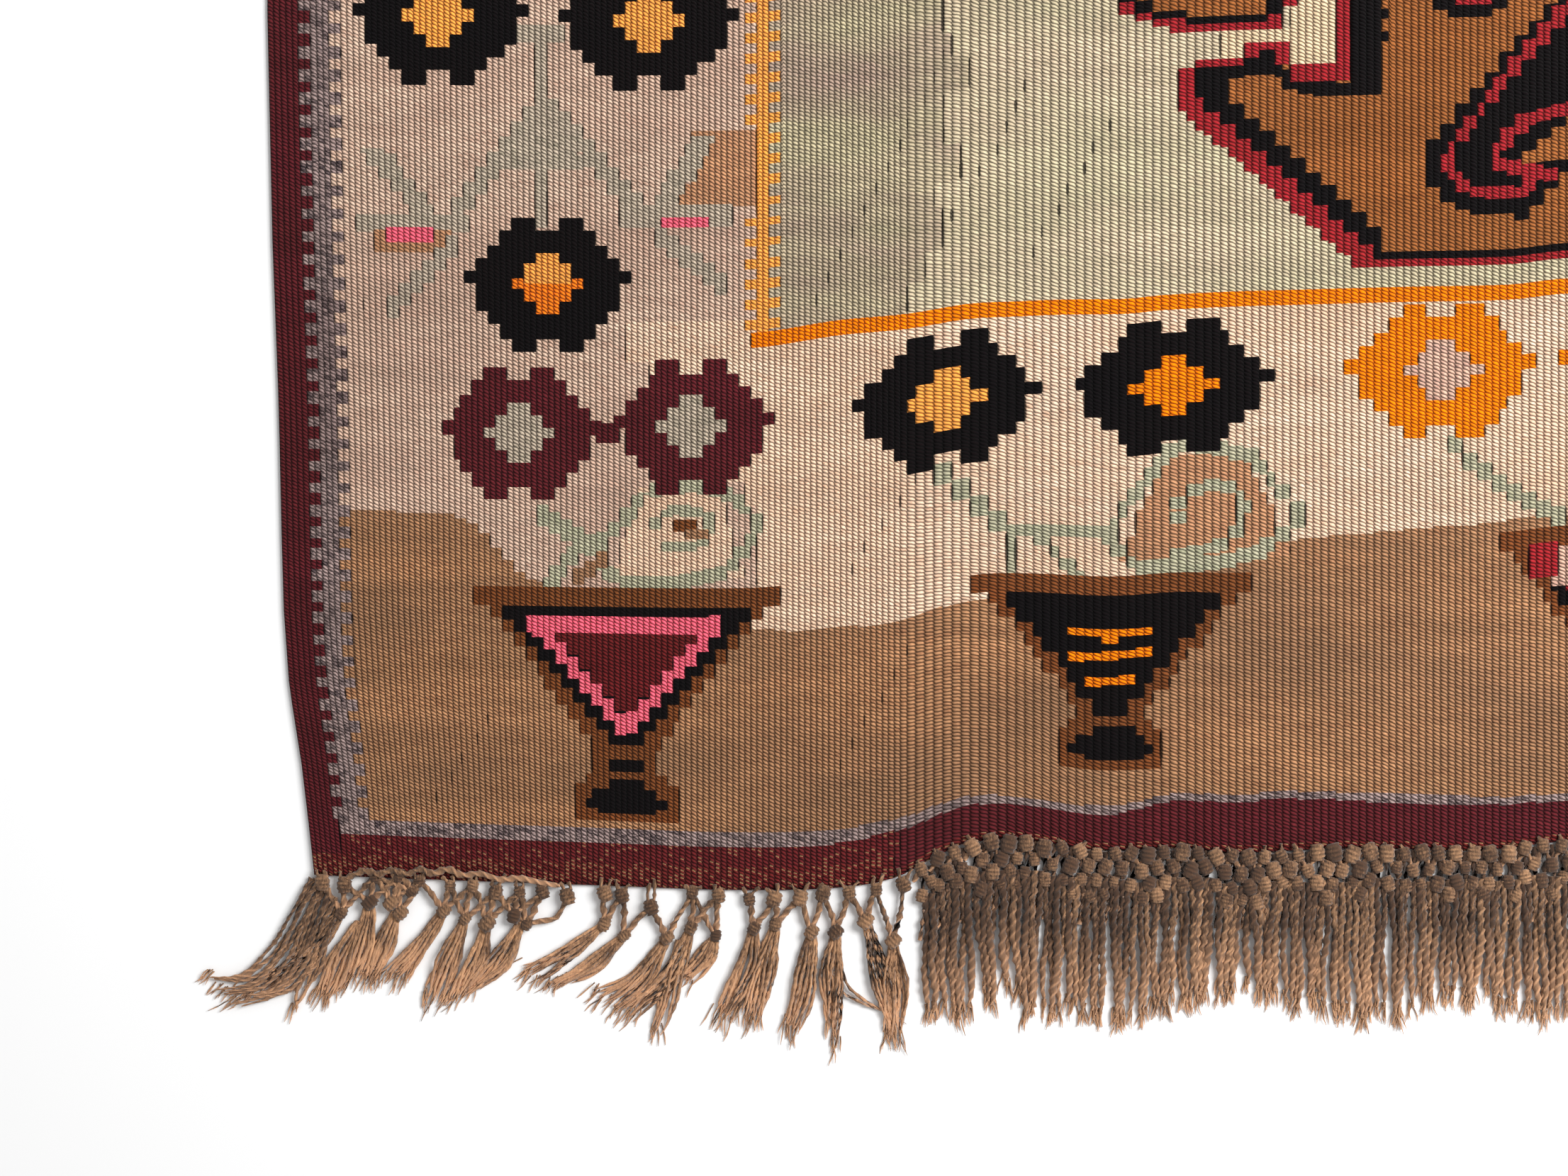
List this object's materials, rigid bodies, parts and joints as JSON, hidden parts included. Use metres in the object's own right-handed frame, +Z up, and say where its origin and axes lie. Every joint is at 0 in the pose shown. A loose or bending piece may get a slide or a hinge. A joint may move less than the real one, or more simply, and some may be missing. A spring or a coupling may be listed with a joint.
{
  "type": "kilim rug",
  "caption": "Flat-woven rectangular rug with slightly bowed selvedges, wavy hems and a knotted fringe of warp ends along each short side.",
  "frame": {"origin": "middle of the rug's box, on the floor", "axes": "+Z up out of the rug's face, +Y along the warp towards the far fringe, +X along the weft to the right"},
  "size_m": [1.2428, 1.963, 0.0046],
  "materials": {
    "weft_wool": "matte hand-spun wool, tightly packed weft over ribs",
    "warp_yarn": "undyed camel-brown plied yarn, matte and slightly fuzzy"
  },
  "bodies": {
    "root": {"woven_cloth": "weft_wool", "near_fringe": "warp_yarn", "far_fringe": "warp_yarn"}
  },
  "joints": []
}
